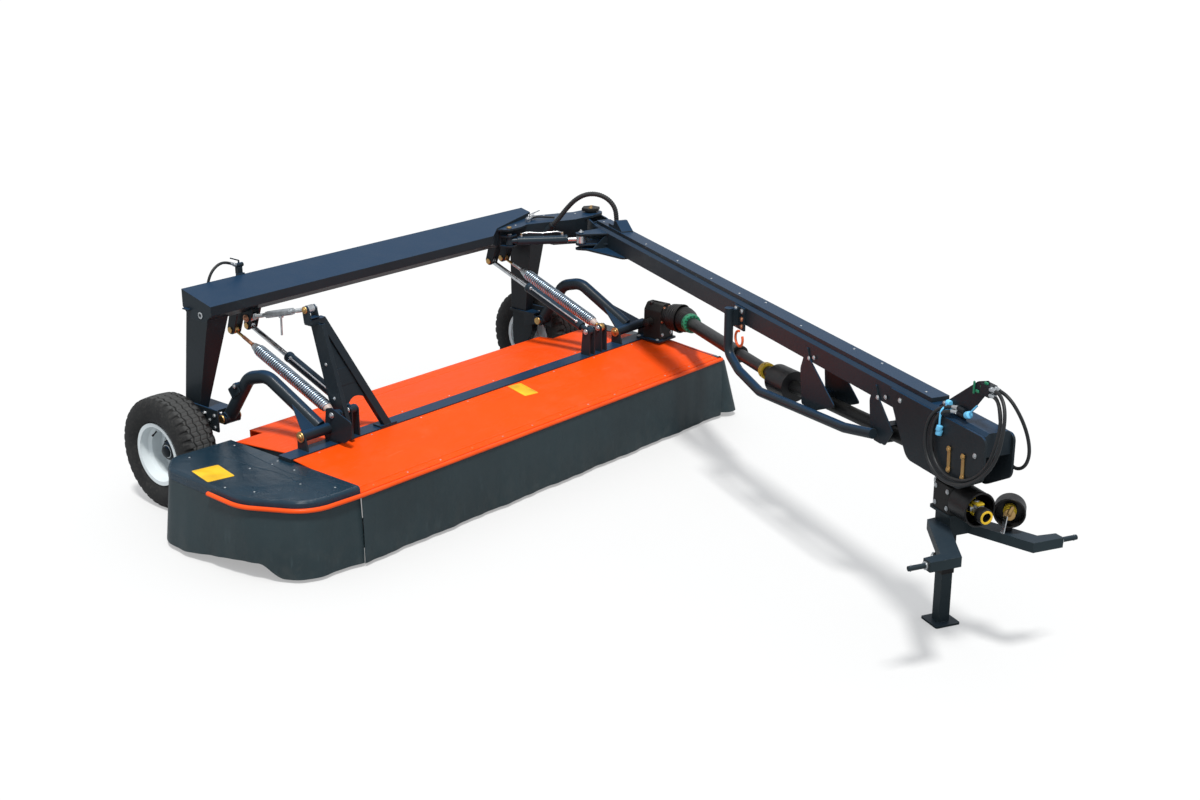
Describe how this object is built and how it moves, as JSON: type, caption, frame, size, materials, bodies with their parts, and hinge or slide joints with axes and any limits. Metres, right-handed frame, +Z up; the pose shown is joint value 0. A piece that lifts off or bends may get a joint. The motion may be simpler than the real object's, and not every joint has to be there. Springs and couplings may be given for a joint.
{
  "type": "side-pull trailed disc mower",
  "caption": "Side-pull trailed disc mower: portal frame on two wheels, wide covered disc header on lift arms, swivelling drawbar with drive shaft, jack and two-point hitch head.",
  "frame": {"origin": "middle of the bounding box in plan, on the floor, as parked", "axes": "+X to the machine's left, -Y the direction of travel, +Z up"},
  "size_m": [4.3731, 5.871, 1.642],
  "materials": {
    "frame_paint": "satin dark blue-grey paint",
    "side_plate_paint": "satin dark paint",
    "orange_paint": "gloss orange paint",
    "tyre_rubber": "matt rubber",
    "rim_paint": "silver paint",
    "zinc_steel": "zinc plated",
    "yellow_zinc": "yellow zinc plated",
    "cylinder_paint": "gloss black paint",
    "chrome_rod": "polished",
    "spring_steel": "bright zinc plated spring steel",
    "bar_paint": "dark paint, worn",
    "disc_steel": "dull hardened steel",
    "curtain_rubber": "dark grey coated fabric",
    "gear_paint": "black paint",
    "black_plastic": "black plastic",
    "jack_paint": "satin dark paint",
    "jack_grey": "grey paint",
    "rack_paint": "satin black paint",
    "hose_rubber": "black hydraulic hose"
  },
  "bodies": {
    "frame": {"main_beam": "frame_paint", "portal_legs": "frame_paint", "wheel_axles": "frame_paint", "swivel_arm": "frame_paint", "swivel_hose": "hose_rubber", "valve_hose": "hose_rubber"},
    "wheel_right": {"tyre_right": "tyre_rubber", "rim_right": "rim_paint"},
    "wheel_left": {"tyre_left": "tyre_rubber", "rim_left": "rim_paint"},
    "lift_arms": {"lift_arms": "frame_paint"},
    "header": {"header_frame": "frame_paint", "a_bracket": "frame_paint", "cutterbar": "bar_paint", "skids": "disc_steel", "front_cover": "orange_paint", "rear_cover": "orange_paint", "end_covers": "curtain_rubber", "end_skirts": "curtain_rubber", "bumper_tube": "orange_paint", "side_gearbox": "gear_paint"},
    "top_link": {"top_link": "zinc_steel"},
    "lift_cylinders": {"lift_cylinder_barrels": "cylinder_paint", "float_springs": "spring_steel"},
    "lift_rods": {"lift_cylinder_rods": "chrome_rod", "spring_adjusters": "yellow_zinc"},
    "front_curtain": {"front_skirt": "curtain_rubber"},
    "joint_cross": {"pto_yoke": "zinc_steel"},
    "shaft_rear": {"pto_shaft_rear": "black_plastic", "joint_guard": "black_plastic"},
    "shaft_front": {"pto_shaft_front": "black_plastic"},
    "drawbar": {"drawbar_beam": "frame_paint", "drawbar_cap": "frame_paint", "hitch_plates": "side_plate_paint", "upper_gear_head": "gear_paint", "driveline_tube": "gear_paint", "driveline_hangers": "frame_paint", "driveline_bell": "black_plastic", "guard_tube": "frame_paint", "jack_tube": "jack_paint", "hose_rack": "rack_paint", "hitch_hose_near": "hose_rubber", "hitch_hose_inner": "hose_rubber", "hitch_hose_far": "hose_rubber"},
    "swing_barrel": {"swing_cylinder_barrel": "cylinder_paint"},
    "swing_rod": {"swing_cylinder_rod": "chrome_rod"},
    "jack": {"jack_leg": "jack_grey"},
    "hitch": {"hitch_gearbox": "gear_paint", "hitch_crossbar": "frame_paint", "hitch_bells": "black_plastic"},
    "cutting_disc_01": {"disc_01": "disc_steel"},
    "cutting_disc_02": {"disc_02": "disc_steel"},
    "cutting_disc_03": {"disc_03": "disc_steel"},
    "cutting_disc_04": {"disc_04": "disc_steel"},
    "cutting_disc_05": {"disc_05": "disc_steel"},
    "cutting_disc_06": {"disc_06": "disc_steel"},
    "cutting_disc_07": {"disc_07": "disc_steel"},
    "cutting_disc_08": {"disc_08": "disc_steel"},
    "cutting_disc_09": {"disc_09": "disc_steel"},
    "cutting_disc_10": {"disc_10": "disc_steel"}
  },
  "joints": [
    {"name": "wheel_right_spin", "type": "hinge", "parent": "frame", "child": "wheel_right", "pos_m": [-1.71344, 2.55557, 0.38], "axis": [1, 0, 0], "continuous": true},
    {"name": "wheel_left_spin", "type": "hinge", "parent": "frame", "child": "wheel_left", "pos_m": [1.84156, 2.55557, 0.38], "axis": [1, 0, 0], "continuous": true},
    {"name": "header_lift", "type": "hinge", "parent": "frame", "child": "lift_arms", "pos_m": [0.12156, 2.30557, 0.59], "axis": [-1, 0, 0], "range_deg": [0, 20]},
    {"name": "header_pivot", "type": "hinge", "parent": "lift_arms", "child": "header", "pos_m": [0.12156, 1.55557, 0.632], "axis": [1, 0, 0], "range_deg": [-0.2, 15.21]},
    {"name": "top_link_pivot", "type": "hinge", "parent": "frame", "child": "top_link", "pos_m": [-1.16844, 2.32457, 1.2165], "axis": [-1, 0, 0], "range_deg": [-0.2, 24.88]},
    {"name": "lift_cylinder_pivot", "type": "hinge", "parent": "header", "child": "lift_cylinders", "pos_m": [0.12156, 1.51557, 0.725], "axis": [-1, 0, 0], "range_deg": [-0.2, 8.67]},
    {"name": "lift_rod_slide", "type": "slide", "parent": "lift_cylinders", "child": "lift_rods", "axis": [0, 0.9352, 0.3542], "range_m": [-0.131, 0.002]},
    {"name": "front_curtain_hinge", "type": "hinge", "parent": "header", "child": "front_curtain", "pos_m": [0.12156, 0.84127, 0.466], "axis": [-1, 0, 0], "range_deg": [0, 100]},
    {"name": "disc_01_spin", "type": "hinge", "parent": "header", "child": "cutting_disc_01", "pos_m": [-1.83844, 1.13557, 0.096], "axis": [0, 0, 1], "continuous": true},
    {"name": "disc_02_spin", "type": "hinge", "parent": "header", "child": "cutting_disc_02", "pos_m": [-1.43844, 1.13557, 0.096], "axis": [0, 0, 1], "continuous": true},
    {"name": "disc_03_spin", "type": "hinge", "parent": "header", "child": "cutting_disc_03", "pos_m": [-1.03844, 1.13557, 0.096], "axis": [0, 0, 1], "continuous": true},
    {"name": "disc_04_spin", "type": "hinge", "parent": "header", "child": "cutting_disc_04", "pos_m": [-0.63844, 1.13557, 0.096], "axis": [0, 0, 1], "continuous": true},
    {"name": "disc_05_spin", "type": "hinge", "parent": "header", "child": "cutting_disc_05", "pos_m": [-0.23844, 1.13557, 0.096], "axis": [0, 0, 1], "continuous": true},
    {"name": "disc_06_spin", "type": "hinge", "parent": "header", "child": "cutting_disc_06", "pos_m": [0.16156, 1.13557, 0.096], "axis": [0, 0, 1], "continuous": true},
    {"name": "disc_07_spin", "type": "hinge", "parent": "header", "child": "cutting_disc_07", "pos_m": [0.56156, 1.13557, 0.096], "axis": [0, 0, 1], "continuous": true},
    {"name": "disc_08_spin", "type": "hinge", "parent": "header", "child": "cutting_disc_08", "pos_m": [0.96156, 1.13557, 0.096], "axis": [0, 0, 1], "continuous": true},
    {"name": "disc_09_spin", "type": "hinge", "parent": "header", "child": "cutting_disc_09", "pos_m": [1.36156, 1.13557, 0.096], "axis": [0, 0, 1], "continuous": true},
    {"name": "disc_10_spin", "type": "hinge", "parent": "header", "child": "cutting_disc_10", "pos_m": [1.76156, 1.13557, 0.096], "axis": [0, 0, 1], "continuous": true},
    {"name": "drawbar_swing", "type": "hinge", "parent": "frame", "child": "drawbar", "pos_m": [2.10156, 2.20557, 1.196], "axis": [0, 0, 1], "range_deg": [-3, 35]},
    {"name": "swing_barrel_pivot", "type": "hinge", "parent": "frame", "child": "swing_barrel", "pos_m": [1.26156, 2.29357, 1.29], "axis": [0, 0, 1], "range_deg": [-0.55, 0.23]},
    {"name": "swing_rod_slide", "type": "slide", "parent": "swing_barrel", "child": "swing_rod", "axis": [0.7464, -0.6655, 0], "range_m": [-0.0284, 0.3105]},
    {"name": "joint_cross_turn", "type": "hinge", "parent": "header", "child": "joint_cross", "pos_m": [1.95156, 1.13557, 0.74], "axis": [0, 0, 1], "range_deg": [-4.75, 52.21]},
    {"name": "shaft_tilt", "type": "hinge", "parent": "joint_cross", "child": "shaft_rear", "pos_m": [1.95156, 1.13557, 0.74], "axis": [-0.8145, 0.5802, 0], "range_deg": [-12.33, 0.3]},
    {"name": "shaft_telescope", "type": "slide", "parent": "shaft_rear", "child": "shaft_front", "axis": [-0.5777, -0.811, 0.0927], "range_m": [-0.08, 0]},
    {"name": "hitch_swivel", "type": "hinge", "parent": "drawbar", "child": "hitch", "pos_m": [-0.16959, -2.34965, 0.975], "axis": [0, 0, 1], "range_deg": [-47, 63]},
    {"name": "jack_slide", "type": "slide", "parent": "drawbar", "child": "jack", "axis": [0, 0, 1], "range_m": [0, 0.29]}
  ],
  "couplings": [
    {"joint": "header_pivot", "follows": "header_lift", "ratio": 0.75046},
    {"joint": "top_link_pivot", "follows": "header_lift", "ratio": 1.2342},
    {"joint": "lift_cylinder_pivot", "follows": "header_lift", "ratio": 0.4235},
    {"joint": "lift_rod_slide", "follows": "header_lift", "m_per_rad": -0.36949},
    {"joint": "disc_02_spin", "follows": "disc_01_spin", "ratio": -1},
    {"joint": "disc_03_spin", "follows": "disc_01_spin", "ratio": 1},
    {"joint": "disc_04_spin", "follows": "disc_01_spin", "ratio": -1},
    {"joint": "disc_05_spin", "follows": "disc_01_spin", "ratio": 1},
    {"joint": "disc_06_spin", "follows": "disc_01_spin", "ratio": -1},
    {"joint": "disc_07_spin", "follows": "disc_01_spin", "ratio": 1},
    {"joint": "disc_08_spin", "follows": "disc_01_spin", "ratio": -1},
    {"joint": "disc_09_spin", "follows": "disc_01_spin", "ratio": 1},
    {"joint": "disc_10_spin", "follows": "disc_01_spin", "ratio": -1},
    {"joint": "swing_barrel_pivot", "follows": "drawbar_swing", "ratio": -0.01},
    {"joint": "swing_rod_slide", "follows": "drawbar_swing", "m_per_rad": 0.505},
    {"joint": "joint_cross_turn", "follows": "drawbar_swing", "ratio": 1.483},
    {"joint": "shaft_tilt", "follows": "header_lift", "ratio": -0.60165}
  ]
}
